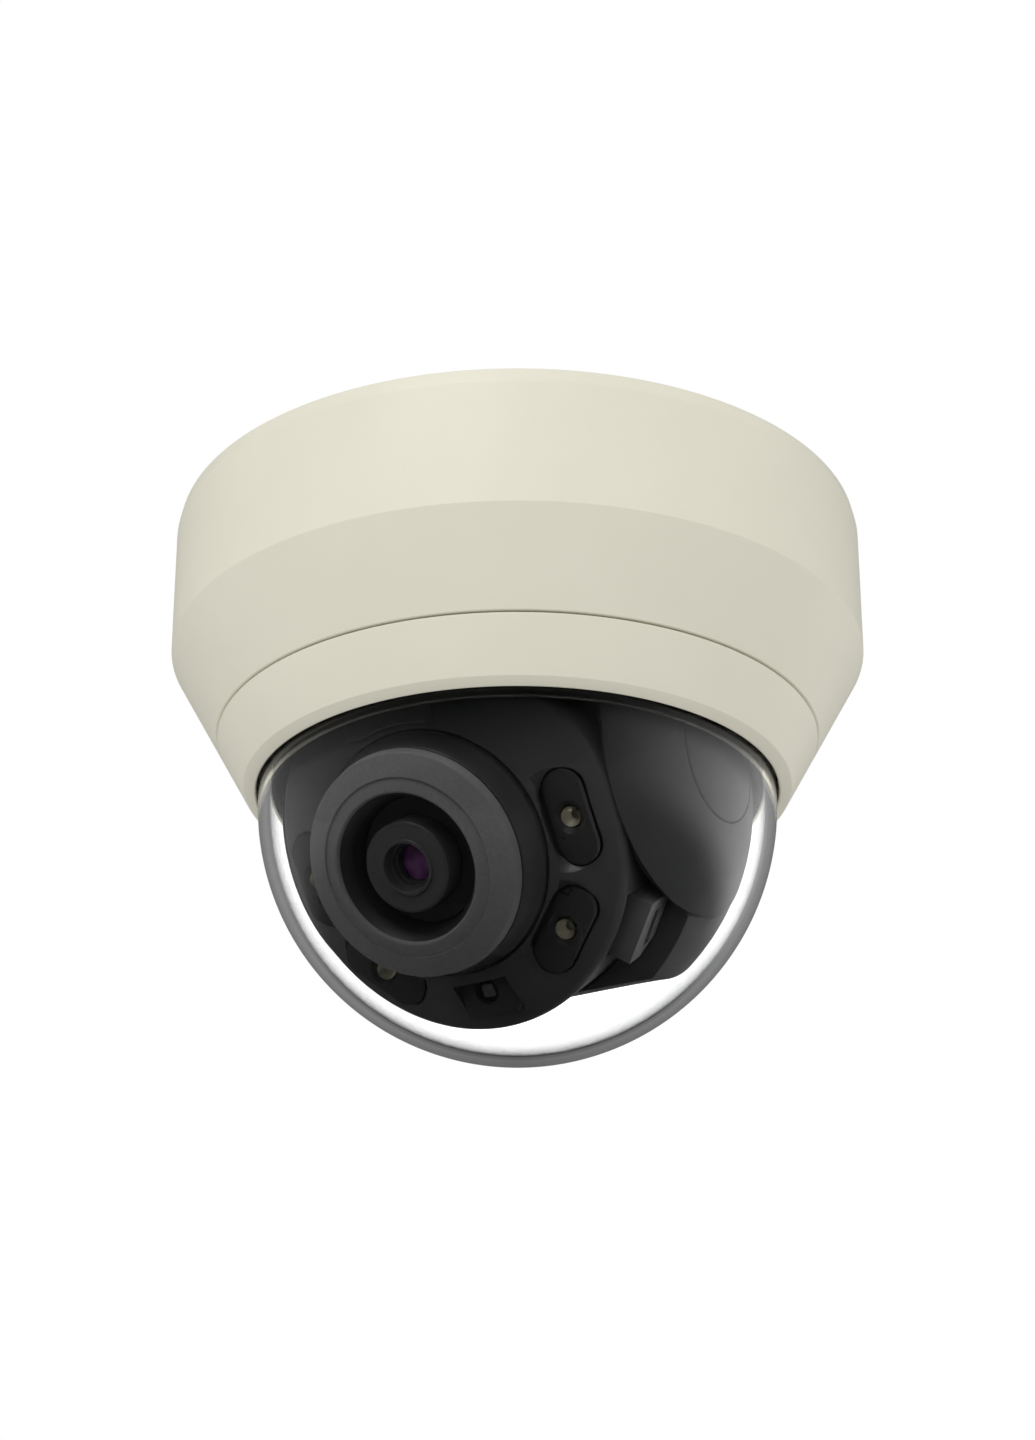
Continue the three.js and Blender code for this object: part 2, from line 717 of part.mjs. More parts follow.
function rearShell() {
  const wide = hubRadius - hubWall - 0.7; // its top reaches up inside the hub
  const ball = (radius) => new THREE.SphereGeometry(radius, midSteps, 24);
  const seat = shellBack - slip;
  const whole = alongX(prism(outline(rearOutline(0, cheekFront)), -wide, wide));
  const seatRoom = rod(shellCornerRadius + 0.15 + slip, seat, cheekFront + 1, midSteps);
  const outer = cut(common(whole, ball(headRadius - 0.1)), seatRoom);
  const inner = common(
    alongX(prism(outline(rearOutline(shellWall, seat + 1)), -wide + shellWall, wide - shellWall)),
    ball(headRadius - 0.1 - shellWall));
  const boss = alongX(prism(outline(arc(5, 0, 345, 23)), wide - 6, wide - 0.5));
  const hole = alongX(prism(outline(arc(screwRadius + 0.3, 0, 345, 23)), 20, 60));
  const cableWay = block(-5, 5, -2, 6, -40, -rearDepth + 6);
  return cut(join(cut(outer, inner), boss, mirroredX(boss)), hole, mirroredX(hole), cableWay);
}

tilt.add(piece("front_shell", frontShell(), blackPlastic()));
tilt.add(piece("rear_shell", rearShell(), blackPlastic()));

const ledBoardTop = 24.4;
const ledBoardShape = outline([...arc(28, -62, 242, 40), ...arc(21.4, 242, -62, 40)]);
tilt.add(piece("led_board", prism(ledBoardShape, ledBoardTop - 1.2, ledBoardTop), boardGreen()));
ledAngles.forEach((angle, i) => {
  const window = cut(
    prism(ledWindowShape(0), ledFace - ledWindowThickness, ledFace, 6),
    rod(ledRadius + slip, 0, 60, 20));
  tilt.add(piece(`led_plate_${i + 1}`, onPitch(window, angle), blackPlastic()));
  const dome = new THREE.SphereGeometry(ledRadius, 20, 12).translate(0, 0, ledFace - 0.7);
  const foot = block(-2.2, 2.2, -2.2, 2.2, ledBoardTop + 0.1, ledBoardTop + 1.1);
  const led = join(foot, rod(ledRadius, ledBoardTop + 0.6, ledFace - 0.7, 20), dome);
  tilt.add(piece(`led_${i + 1}`, onPitch(led, angle), finish(0xd8d2b0, 0.15)));
});

const bezelTop = faceAt(25.3) - 0.5;
const bezel = cut(
  block(-bezelHalf + slip, bezelHalf - slip, bezelLow, bezelHigh, bezelTop - 1.4, bezelTop),
  moved(rod(sensor.hole, 0, 60, 20), 0, -sensor.radius, 0));
tilt.add(piece("sensor_bezel", bezel, finish(0x232324, 0.35)));
const sensorLens = join(
  block(-1.1, 1.1, -sensor.radius - 1.1, -sensor.radius + 1.1, bezelTop - 1.6, bezelTop - 0.3),
  block(-2.6, 2.6, -sensor.radius - 2.4, -sensor.radius + 2.4, bezelTop - 3, bezelTop - 1.5));
tilt.add(piece("light_sensor", sensorLens, finish(0xc9c9c4, 0.1)));

// A flat-topped spring tab with a corner cut off and a finger slot across it.
function latch() {
  const { inside, halfWidth, low, high } = latchShape;
  const { top, shorter, slotFloor, slotLow, slotHigh } = latchTab;
  const end = high - shorter;
  const tab = outline([
    [-halfWidth, high - shorter / 2],
    [-halfWidth, end - 3],
    [-halfWidth + 3, low],
    [halfWidth, low],
    [halfWidth, end],
  ]);
  const body = common(
    turnedBy(alongX(prism(tab, inside + slip, top)), -latchAngle),
    new THREE.SphereGeometry(headRadius - 0.3, midSteps, 24),
    block(0, earPlane - slip, -60, 60, 0, 60));
  const fingerSlot = block(slotFloor, 50, -3, 3, slotLow, slotHigh);
  return cut(body, turnedBy(fingerSlot, -latchAngle));
}
tilt.add(piece("latch", latch(), blackPlastic()));

// ---- Rotating lens group, about the lens axis ----

const rotator = new THREE.Group();
tilt.add(rotator);
const flangeUnder = 26.6;
const barrelSeat = barrelThread + 0.3;

const collar = turned([
  [14.4, flangeUnder - 1.2],
  [collarRadius + 1.5, flangeUnder - 1.2],
  [collarRadius + 1.5, flangeUnder],
  [collarRadius, flangeUnder + 0.4],
  [collarRadius, 30.9],
  [collarRadius - 0.75, 32.6],
  [collarTopRadius, collarHeight],
  [14.4, collarHeight],
], midSteps);
rotator.add(piece("lens_collar", collar, finish(0x222223, 0.45)));

const foamAt = (r) => Math.sqrt(foamReach ** 2 - r ** 2);
const foam = turned([
  [foamBore - 1.6, collarHeight - 3],
  [14.1, collarHeight - 3],
  [14.1, collarHeight + slip],
  [foamRadius + 0.4, collarHeight + slip],
  [foamRadius, foamAt(foamRadius)],
  [16.4, foamAt(16.4)],
  [14.6, foamAt(14.6)],
  [13.4, foamAt(13.4)],
  [foamBore + 0.5, foamAt(foamBore + 0.5)],
  [foamBore, foamAt(foamBore) - 0.4],
], midSteps);
rotator.add(piece("foam_ring", foam, finish(0x3b3b3d, 0.95)));

const sliderPlate = { low: 15, thick: 1.2, travel: 7 };
const holder = cut(
  turned([
    [barrelSeat, 12],
    [13.2, 12],
    [13.2, 29],
    [10.3, 30.6],
    [10.3, 34],
    [barrelSeat, 34],
  ], 36),
  block(-20, 20, -6.3, 6.3, sliderPlate.low - slip, sliderPlate.low + sliderPlate.thick + 0.5));
rotator.add(piece("lens_holder", holder, blackPlastic()));
rotator.add(piece("sensor_board", block(-11.5, 11.5, -11.5, 11.5, 8.6, 9.8), boardGreen()));
rotator.add(piece("image_sensor", block(-4.2, 4.2, -3.8, 3.8, 10, 11.4), finish(0x2b3a52, 0.2)));

const barrel = turned([
  [4.4, 20],
  [barrelThread, 20],
  [barrelThread, 34.6],
  [barrelRadius, 34.6],
  [barrelRadius, barrelFront - 0.3],
  [barrelRadius - 0.3, barrelFront],
  [barrelBore, barrelFront],
  [barrelBore, barrelFront - 2],
  [barrelBore - 0.7, barrelFront - 2.4],
  [barrelBore - 0.7, barrelFront - 5.5],
  [4.4, barrelFront - 6],
], 32);
tilt.add(piece("lens_barrel", barrel, finish(0x19191a, 0.4)));
const glassFront = barrelFront - 2.6;
const glassRadius = barrelBore - 1;
const glass = turned([
  [0, glassFront - 2.2],
  [glassRadius, glassFront - 2.2],
  [glassRadius, glassFront - 0.9],
  [glassRadius * 0.8, glassFront - 0.5],
  [glassRadius * 0.45, glassFront - 0.15],
  [0, glassFront],
], 32);
tilt.add(piece("front_element", glass, finish(0x5a4a86, 0.05)));

// ---- Day and night filter ----

const filterAt = sliderPlate.low + sliderPlate.thick / 2;
const sliderBody = cut(
  block(-10.4, 17.4 - sliderPlate.travel, -6, 6, sliderPlate.low, sliderPlate.low + sliderPlate.thick),
  block(-3.3, 3.3, -3.3, 3.3, 0, 40));
tilt.add(piece("filter_slider", sliderBody, blackPlastic()));
const filterGlass = block(-3, 3, -3, 3, filterAt - 0.4, filterAt + 0.4);
tilt.add(piece("cut_filter", filterGlass, finish(0x8fb6c9, 0.05)));

export default camera;
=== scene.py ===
import bpy
import bmesh
import json
import math
from mathutils import Matrix, Vector


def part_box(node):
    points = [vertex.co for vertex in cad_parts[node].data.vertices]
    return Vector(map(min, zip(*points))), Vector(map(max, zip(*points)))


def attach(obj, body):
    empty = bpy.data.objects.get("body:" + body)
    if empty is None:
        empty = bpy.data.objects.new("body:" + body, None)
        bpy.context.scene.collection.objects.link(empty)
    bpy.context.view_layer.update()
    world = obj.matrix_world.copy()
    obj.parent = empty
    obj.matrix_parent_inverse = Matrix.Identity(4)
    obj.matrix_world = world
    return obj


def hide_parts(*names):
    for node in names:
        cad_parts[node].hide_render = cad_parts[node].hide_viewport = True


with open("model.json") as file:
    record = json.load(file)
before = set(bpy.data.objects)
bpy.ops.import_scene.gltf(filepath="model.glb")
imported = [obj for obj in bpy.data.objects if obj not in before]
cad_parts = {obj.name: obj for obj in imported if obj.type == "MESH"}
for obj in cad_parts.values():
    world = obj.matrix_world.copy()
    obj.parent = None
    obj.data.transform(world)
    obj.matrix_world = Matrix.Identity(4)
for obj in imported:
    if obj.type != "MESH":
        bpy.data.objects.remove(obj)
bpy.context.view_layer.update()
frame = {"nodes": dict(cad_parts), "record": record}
mm = 0.001
print("frame loaded:", len(frame["nodes"]), "nodes")

# Places come from the joints: the tilt axis runs right, the lens axis runs forward.
joints = {j["name"]: j for j in frame["record"]["behaviour"]["joints"]}
rightWay = Vector(joints["tilt"]["axis"]).normalized()
lensWay = Vector(joints["lens_rotate"]["axis"]).normalized()
upWay = lensWay.cross(rightWay)
headCentre = Vector(joints["tilt"]["pos_m"]) / mm
headPlace = Matrix((rightWay, upWay, lensWay)).transposed().to_4x4()
headPlace.translation = headCentre
panPlace = Matrix((rightWay, Vector((0, 0, 1)).cross(rightWay), (0, 0, 1))).transposed().to_4x4()
panPlace.translation = headCentre
housingPlace = Matrix.Identity(4)


def sizeOf(node):
    low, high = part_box(node)
    return Vector(low) / mm, Vector(high) / mm


coverLow, coverHigh = sizeOf("cover")
trimLow, trimHigh = sizeOf("trim_ring")
domeLow, domeHigh = sizeOf("dome_bubble")


# meshes are made in millimetres and scaled when they are placed
def softProfile(points, closed=True, steps=5):
    # a point is (across, along) or (across, along, radius of its corner)
    out = []
    count = len(points)
    for i, point in enumerate(points):
        radius = point[2] if len(point) > 2 else 0
        corner = Vector(point[:2])
        if not radius or (not closed and i in (0, count - 1)):
            out.append(corner)
            continue
        before = Vector(points[i - 1][:2]) - corner
        after = Vector(points[(i + 1) % count][:2]) - corner
        half = before.angle(after) / 2
        back = min(radius / math.tan(half), before.length * 0.48, after.length * 0.48)
        radius = back * math.tan(half)
        centre = corner + (before.normalized() + after.normalized()).normalized() * radius / math.sin(half)
        start = corner + before.normalized() * back - centre
        end = corner + after.normalized() * back - centre
        for k in range(steps + 1):
            out.append(centre + start.lerp(end, k / steps).normalized() * radius)
    return out


def arcPoints(radius, fromAngle, toAngle, steps, centre=(0, 0)):
    points = []
    for i in range(steps + 1):
        a = math.radians(fromAngle + (toAngle - fromAngle) * i / steps)
        points.append((centre[0] + radius * math.cos(a), centre[1] + radius * math.sin(a)))
    return points


def meshFrom(name, bm):
    bmesh.ops.recalc_face_normals(bm, faces=bm.faces)
    mesh = bpy.data.meshes.new(name)
    bm.to_mesh(mesh)
    bm.free()
    return mesh


def turnedMesh(name, profile, steps=192):
    # a profile that starts off the axis closes on itself
    bm = bmesh.new()
    rings = []
    for across, along in map(Vector, profile):
        if abs(across) < 1e-5:
            rings.append([bm.verts.new((0, 0, along))])
            continue
        ring = []
        for k in range(steps):
            a = 2 * math.pi * k / steps
            ring.append(bm.verts.new((across * math.cos(a), across * math.sin(a), along)))
        rings.append(ring)
    pairs = list(zip(rings, rings[1:]))
    if len(rings[0]) > 1 and len(rings[-1]) > 1:
        pairs.append((rings[-1], rings[0]))
    for one, two in pairs:
        for k in range(steps):
            corners = [one[k % len(one)], one[(k + 1) % len(one)], two[(k + 1) % len(two)], two[k % len(two)]]
            corners = list(dict.fromkeys(corners))
            if len(corners) > 2:
                bm.faces.new(corners)
    return meshFrom(name, bm)


def loftMesh(name, outlines):
    # outlines is a list of (points, height), all with the same number of points
    bm = bmesh.new()
    rings = [[bm.verts.new((x, y, height)) for x, y in points] for points, height in outlines]
    for one, two in zip(rings, rings[1:]):
        for k in range(len(one)):
            bm.faces.new((one[k - 1], one[k], two[k], two[k - 1]))
    bm.faces.new(rings[0])
    bm.faces.new(rings[-1])
    return meshFrom(name, bm)


def boxMesh(name, x0, x1, y0, y1, z0, z1):
    return loftMesh(name, [([(x0, y0), (x1, y0), (x1, y1), (x0, y1)], z) for z in (z0, z1)])


def rodMesh(name, radius, low, high, steps=64):
    # a rod along Z, to cut a round hole with
    return turnedMesh(name, [(0, low), (radius, low), (radius, high), (0, high)], steps)


def slotOutline(length, width, steps=20):
    # a slot with round ends, long side along Y
    half = (length - width) / 2
    return arcPoints(width / 2, 0, 180, steps, (0, half)) + arcPoints(width / 2, 180, 360, steps, (0, -half))


def tempObject(mesh):
    obj = bpy.data.objects.new(mesh.name, mesh)
    bpy.context.scene.collection.objects.link(obj)
    return obj


def withModifier(mesh, kind, tool=None, **values):
    obj = tempObject(mesh)
    modifier = obj.modifiers.new("step", kind)
    for key, value in values.items():
        setattr(modifier, key, value)
    helper = None
    if tool is not None:
        helper = tempObject(tool)
        modifier.object = helper
    graph = bpy.context.evaluated_depsgraph_get()
    result = bpy.data.meshes.new_from_object(obj.evaluated_get(graph))
    for gone in (obj, helper):
        if gone is not None:
            bpy.data.objects.remove(gone)
    return result


def carved(mesh, *tools):
    for tool in tools:
        mesh = withModifier(mesh, "BOOLEAN", tool, operation="DIFFERENCE", solver="EXACT")
    return mesh


def kept(mesh, *tools):
    for tool in tools:
        mesh = withModifier(mesh, "BOOLEAN", tool, operation="INTERSECT", solver="EXACT")
    return mesh


def bevelled(mesh, width, segments=2, angle=35):
    return withModifier(mesh, "BEVEL", width=width, segments=segments, limit_method="ANGLE",
                        angle_limit=math.radians(angle), harden_normals=False)


def shifted(mesh, x=0, y=0, z=0):
    mesh.transform(Matrix.Translation((x, y, z)))
    return mesh


def spun(mesh, angle, axis="Z"):
    mesh.transform(Matrix.Rotation(math.radians(angle), 4, axis))
    return mesh


def onItsSide(mesh):
    # a loft's outline turns to the YZ plane, and its height to X
    mesh.transform(Matrix(((0, 0, 1, 0), (1, 0, 0, 0), (0, 1, 0, 0), (0, 0, 0, 1))))
    return mesh


def addPiece(name, mesh, place, material, body, nodes=(), sharp=32):
    mesh.transform(Matrix.Scale(mm, 4) @ place)
    mesh.name = name
    mesh.materials.clear()
    mesh.materials.append(material)
    mesh.shade_smooth()
    mesh.set_sharp_from_angle(angle=math.radians(sharp))
    obj = tempObject(mesh)
    obj.name = name
    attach(obj, body)
    if nodes:
        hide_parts(*nodes)
    return obj


class Finish:
    # one node material: a Principled shader with helpers that wire textures to it

    def __init__(self, name):
        self.material = bpy.data.materials.new(name)
        self.material.use_nodes = True
        self.tree = self.material.node_tree
        self.shader = self.tree.nodes["Principled BSDF"]
        self.coords = self.tree.nodes.new("ShaderNodeTexCoord")

    def link(self, out, into):
        self.tree.links.new(out, into)

    def setValues(self, **values):
        for key, value in values.items():
            self.shader.inputs[key.replace("_", " ")].default_value = value

    def noise(self, scale, detail=3, roughness=0.5):
        node = self.tree.nodes.new("ShaderNodeTexNoise")
        node.inputs["Scale"].default_value = scale
        node.inputs["Detail"].default_value = detail
        node.inputs["Roughness"].default_value = roughness
        self.link(self.coords.outputs["Object"], node.inputs["Vector"])
        return node.outputs["Fac"]

    def cells(self, scale):
        node = self.tree.nodes.new("ShaderNodeTexVoronoi")
        node.inputs["Scale"].default_value = scale
        self.link(self.coords.outputs["Object"], node.inputs["Vector"])
        return node.outputs["Distance"]

    def ramp(self, fac, low, high, start=0.3, end=0.7):
        node = self.tree.nodes.new("ShaderNodeValToRGB")
        node.color_ramp.elements[0].position = start
        node.color_ramp.elements[0].color = low
        node.color_ramp.elements[1].position = end
        node.color_ramp.elements[1].color = high
        self.link(fac, node.inputs["Fac"])
        return node.outputs["Color"]

    def spread(self, fac, low, high, start=0.3, end=0.7):
        node = self.tree.nodes.new("ShaderNodeMapRange")
        node.inputs["From Min"].default_value = start
        node.inputs["From Max"].default_value = end
        node.inputs["To Min"].default_value = low
        node.inputs["To Max"].default_value = high
        self.link(fac, node.inputs["Value"])
        return node.outputs["Result"]

    def colour(self, fac, low, high, start=0.3, end=0.7):
        self.link(self.ramp(fac, low + (1,), high + (1,), start, end), self.shader.inputs["Base Color"])

    def rough(self, fac, low, high, start=0.3, end=0.7):
        self.link(self.spread(fac, low, high, start, end), self.shader.inputs["Roughness"])

    def bump(self, fac, strength, distance):
        node = self.tree.nodes.new("ShaderNodeBump")
        node.inputs["Strength"].default_value = strength
        node.inputs["Distance"].default_value = distance
        self.link(fac, node.inputs["Height"])
        self.link(node.outputs["Normal"], self.shader.inputs["Normal"])

    def letLightThrough(self):
        # lamps and sky light what is behind the clear piece
        nodes = self.tree.nodes
        path = nodes.new("ShaderNodeLightPath")
        through = nodes.new("ShaderNodeBsdfTransparent")
        mix = nodes.new("ShaderNodeMixShader")
        self.link(path.outputs["Is Shadow Ray"], mix.inputs["Fac"])
        self.link(self.shader.outputs["BSDF"], mix.inputs[1])
        self.link(through.outputs["BSDF"], mix.inputs[2])
        self.link(mix.outputs["Shader"], nodes["Material Output"].inputs["Surface"])


def plastic(name, dark, light, roughness, grainScale, grainHeight):
    finish = Finish(name)
    finish.colour(finish.noise(60, 4), dark, light)
    finish.rough(finish.noise(220, 3), roughness - 0.03, roughness + 0.03)
    finish.bump(finish.noise(grainScale, 2), 0.25, grainHeight)
    return finish


def metal(name, dark, light, roughness):
    finish = Finish(name)
    finish.setValues(Metallic=1.0)
    finish.colour(finish.noise(300, 4), dark, light)
    finish.rough(finish.noise(900, 3), roughness - 0.06, roughness + 0.08)
    finish.bump(finish.noise(4000, 2), 0.15, 0.00002)
    return finish


ivory = plastic("ivoryPlastic", (0.79, 0.765, 0.635), (0.81, 0.785, 0.655), 0.42, 2600, 0.00001)
black = plastic("headPlastic", (0.026, 0.026, 0.0265), (0.031, 0.031, 0.0315), 0.42, 5200, 0.000004)
faceBlack = plastic("facePlastic", (0.052, 0.052, 0.053), (0.060, 0.060, 0.061), 0.38, 5200, 0.000004)
latchBlack = plastic("latchPlastic", (0.10, 0.10, 0.10), (0.12, 0.12, 0.12), 0.35, 5200, 0.000004)
satinBlack = plastic("windowPlastic", (0.030, 0.029, 0.029), (0.035, 0.034, 0.034), 0.3, 4000, 0.000003)
linerBlack = plastic("linerPlastic", (0.012, 0.012, 0.012), (0.017, 0.017, 0.017), 0.5, 4200, 0.00001)
barrelBlack = plastic("barrelPlastic", (0.045, 0.045, 0.045), (0.052, 0.052, 0.052), 0.36, 5000, 0.000004)
greenBoard = plastic("boardLacquer", (0.012, 0.07, 0.03), (0.018, 0.1, 0.045), 0.3, 1800, 0.00002)
chipBlack = plastic("chipResin", (0.015, 0.015, 0.016), (0.022, 0.022, 0.023), 0.5, 3000, 0.00001)
terminalGreen = plastic("terminalPlastic", (0.02, 0.16, 0.06), (0.03, 0.2, 0.08), 0.45, 2500, 0.00001)
rubber = plastic("sealRubber", (0.016, 0.016, 0.016), (0.024, 0.024, 0.024), 0.75, 2600, 0.00003)
screwSteel = metal("screwSteel", (0.42, 0.42, 0.43), (0.52, 0.52, 0.53), 0.32)
jackSteel = metal("jackSteel", (0.55, 0.55, 0.55), (0.64, 0.64, 0.64), 0.28)
sinkAluminium = metal("sinkAluminium", (0.58, 0.58, 0.6), (0.66, 0.66, 0.68), 0.4)
basePaint = plastic("basePaint", (0.36, 0.365, 0.37), (0.42, 0.425, 0.43), 0.5, 2200, 0.00002)

foam = Finish("foamSkin")
foam.colour(foam.noise(1800, 4), (0.165, 0.165, 0.168), (0.195, 0.195, 0.198))
foam.rough(foam.noise(900, 3), 0.8, 0.95)
foam.bump(foam.cells(3600), 0.4, 0.00003)

bubble = Finish("clearBubble")
bubble.colour(bubble.noise(20, 2), (0.975, 0.98, 0.98), (1, 1, 1))
bubble.rough(bubble.noise(40, 2), 0.0, 0.012)
bubble.setValues(Transmission_Weight=1.0, IOR=1.49)
bubble.letLightThrough()

coatedGlass = Finish("coatedGlass")
# the base colour sweeps at random from dark to bright purple; the bright end is a painted highlight on the
# coated glass
coatedGlass.colour(coatedGlass.noise(260, 1), (0.10, 0.02, 0.12), (0.34, 0.14, 0.36), 0.35, 0.65)
coatedGlass.rough(coatedGlass.noise(200, 2), 0.02, 0.05)
coatedGlass.setValues(Coat_Weight=1.0, Coat_Roughness=0.02)

ledResin = Finish("ledResin")
ledResin.colour(ledResin.noise(900, 2), (0.93, 0.92, 0.84), (0.98, 0.97, 0.9))
ledResin.rough(ledResin.noise(500, 2), 0.0, 0.03)
ledResin.setValues(Transmission_Weight=1.0, IOR=1.5)
ledResin.letLightThrough()
ledCup = metal("ledCup", (0.86, 0.83, 0.70), (0.96, 0.94, 0.84), 0.3)

sensorGlass = Finish("sensorGlass")
sensorGlass.colour(sensorGlass.noise(900, 2), (0.10, 0.10, 0.10), (0.14, 0.14, 0.14))
sensorGlass.rough(sensorGlass.noise(500, 2), 0.05, 0.12)
sensorGlass.setValues(Coat_Weight=1.0, Coat_Roughness=0.03)

chipBlue = Finish("imageChip")
chipBlue.colour(chipBlue.noise(1500, 2), (0.02, 0.03, 0.06), (0.04, 0.05, 0.1))
chipBlue.rough(chipBlue.noise(800, 2), 0.08, 0.16)
print("finishes made")


def paint(finish, *names):
    for name in names:
        obj = frame["nodes"][name]
        obj.data.materials.clear()
        obj.data.materials.append(finish.material)


housing = {
    "edge": 0.35,        # rounding of the crisp edges
    "topBand": 2.6,      # height of the slight taper at the ceiling
    "topDraft": 0.6,
    "seam": 0.3,         # gap between cover and trim ring
    "lipRadius": 46.8,
    "lipChamfer": 1.15,
    "wall": 2.0,
    "wallFoot": -24.6,   # where the straight wall turns to the cone
}
lug = {"foot": -9.7, "top": -7.7, "inner": 55.6, "root": 0.3, "halfAngle": 7, "angles": (90, 210, 330)}
wide = coverHigh.x
wallFoot = housing["wallFoot"]
slope = (wide - housing["lipRadius"]) / (wallFoot - (trimLow.z + housing["lipChamfer"]))
coverFoot = coverLow.z
trimTop = coverFoot - housing["seam"]


def coneAt(height):
    return wide - slope * (wallFoot - height)


coneWall = housing["wall"] * math.hypot(1, slope)


def makeCover():
    e = housing["edge"]
    inner = wide - housing["wall"]
    profile = softProfile([
        (wide - housing["topDraft"], 0, 0.4),
        (inner, 0, 0.2),
        (inner, wallFoot + 0.5),
        (coneAt(coverFoot) - coneWall, coverFoot, 0.2),
        (coneAt(coverFoot), coverFoot, 0.22),
        (wide, wallFoot, e),
        (wide, -housing["topBand"], 3),
    ])
    shell = turnedMesh("cover", profile, 256)
    addPiece("housingCover", shell, housingPlace, ivory.material, "cover_assembly", ["cover"])
    for angle in lug["angles"]:
        start, end = angle - lug["halfAngle"], angle + lug["halfAngle"]
        outline = arcPoints(inner + lug["root"], start, end, 8) + arcPoints(lug["inner"], end, start, 8)
        mesh = bevelled(loftMesh("lug", [(outline, lug["foot"]), (outline, lug["top"])]), 0.2)
        addPiece(f"coverLug.{angle}", mesh, housingPlace, ivory.material, "cover_assembly", ())


trim = {"play": 0.3, "tongue": 1.5, "lipInner": 44.55, "ledge": 3.8, "seatTop": -42.4}


def makeTrimRing():
    tongueOuter = coneAt(coverFoot) - coneWall - trim["play"]
    tongueInner = tongueOuter - trim["tongue"]
    inner = domeHigh.x + trim["play"]
    lipInner = trim["lipInner"]
    ledge = trimLow.z + trim["ledge"]
    lipEdge = trimLow.z + housing["lipChamfer"]
    profile = softProfile([
        (coneAt(trimTop), trimTop, 0.22),
        (tongueOuter, trimTop),
        (tongueOuter, trimHigh.z, 0.2),
        (tongueInner, trimHigh.z, 0.2),
        (tongueInner, trimTop - 1),
        (inner, trim["seatTop"]),
        (inner, ledge),
        (lipInner, ledge, 0.15),
        (lipInner, trimLow.z, 0.3),
        (housing["lipRadius"], lipEdge, 0.3),
    ])
    addPiece("housingTrimRing", turnedMesh("trim", profile, 256), housingPlace, ivory.material,
             "cover_assembly", ["trim_ring"])


dome = {"wall": 2.0, "radius": 44.19, "flangeTop": -42.9, "flangeFoot": -44.4}
domeCentre = domeLow.z + dome["radius"]
domeInner = dome["radius"] - dome["wall"]


def makeBubble():
    down = [(r, z + domeCentre) for r, z in arcPoints(domeInner, -90, 0, 72)]
    up = [(r, z + domeCentre) for r, z in arcPoints(dome["radius"], 0, -90, 72)]
    profile = down + [
        (domeInner, dome["flangeTop"]),
        (domeHigh.x, dome["flangeTop"]),
        (domeHigh.x, dome["flangeFoot"]),
        (dome["radius"], dome["flangeFoot"]),
    ] + up
    addPiece("clearBubble", turnedMesh("bubble", profile, 256), housingPlace, bubble.material,
             "cover_assembly", ["dome_bubble"], sharp=40)


liner = {"gap": 0.3, "wall": 0.9, "foot": -50.2, "flangeFoot": -42.6, "flangeTop": -40.6, "flange": 45.9}


def makeLiner():
    skirt = domeInner - liner["gap"]
    inner = skirt - liner["wall"]
    profile = softProfile([
        (inner, liner["foot"], 0.2),
        (skirt, liner["foot"], 0.2),
        (skirt, liner["flangeFoot"]),
        (liner["flange"], liner["flangeFoot"], 0.2),
        (liner["flange"], liner["flangeTop"], 0.3),
        (inner, liner["flangeTop"], 0.3),
    ])
    addPiece("mouthLiner", turnedMesh("liner", profile), housingPlace, linerBlack.material,
             "cover_assembly", ["dome_retainer"])


head = {
    "ball": 40.1,         # the head turns inside this ball
    "corner": 31.1,       # widest point of the front shell
    "cornerForward": 25.0,
    "faceCurve": 60.5,
    "opening": 20.3,      # radius of the hole round the lens
    "faceEdge": 29.2,
    "shellBack": 8.0,
    "wall": 1.8,
    "earPlane": 31.4,
}
faceOffset = math.sqrt(head["faceCurve"] ** 2 - head["corner"] ** 2) - head["cornerForward"]


def faceAt(r):
    return math.sqrt(head["faceCurve"] ** 2 - r * r) - faceOffset


windows = {
    "pitch": 24.4,
    "angles": (0, -45, -135, 180),
    "length": 15.6,
    "width": 6.8,
    "groove": 0.3,
    "rim": 0.75,
    "sunk": 0.6,
    "led": 1.7,
    "ledFoot": 25.0,
    "ledSunk": 0.7,
    "sinkDepth": 0.6,
    "sinkRim": 0.85,
    "sinkPlay": 0.25,
}
windowFace = faceAt(windows["pitch"]) - windows["sunk"]


def onPitch(mesh, angle):
    return spun(shifted(mesh, x=windows["pitch"]), angle)


panel = {"half": 5.0, "low": -28.4, "high": -22.2, "sensorAt": -24.3, "hole": 2.1, "sunk": 0.35, "lens": 1.1}
latch = {
    "angle": 39,
    "half": 5.4,
    "from": 29.6,
    "foot": 29.95,
    "back": 14.0,
    "front": 23.0,
    "top": 34.4,
    "shorter": 1.8,       # the outer corner stands back this far
    "slotFloor": 33.2,
    "slotHalf": 3.2,
    "slotBack": 16.5,
    "slotFront": 18.1,
    "gap": 0.3,
}


def frontProfile(inset, back):
    start, end = head["opening"], head["faceEdge"]
    across = [start + (end - start) * i / 10 for i in range(11)]
    face = [(r, faceAt(r) - inset) for r in across]
    side = head["corner"] + 0.15 - inset
    edge = (side, faceAt(head["corner"]) - inset * 0.9 + 0.05, max(3.4 - inset, 0.6))
    return face + [edge, (side, back)]


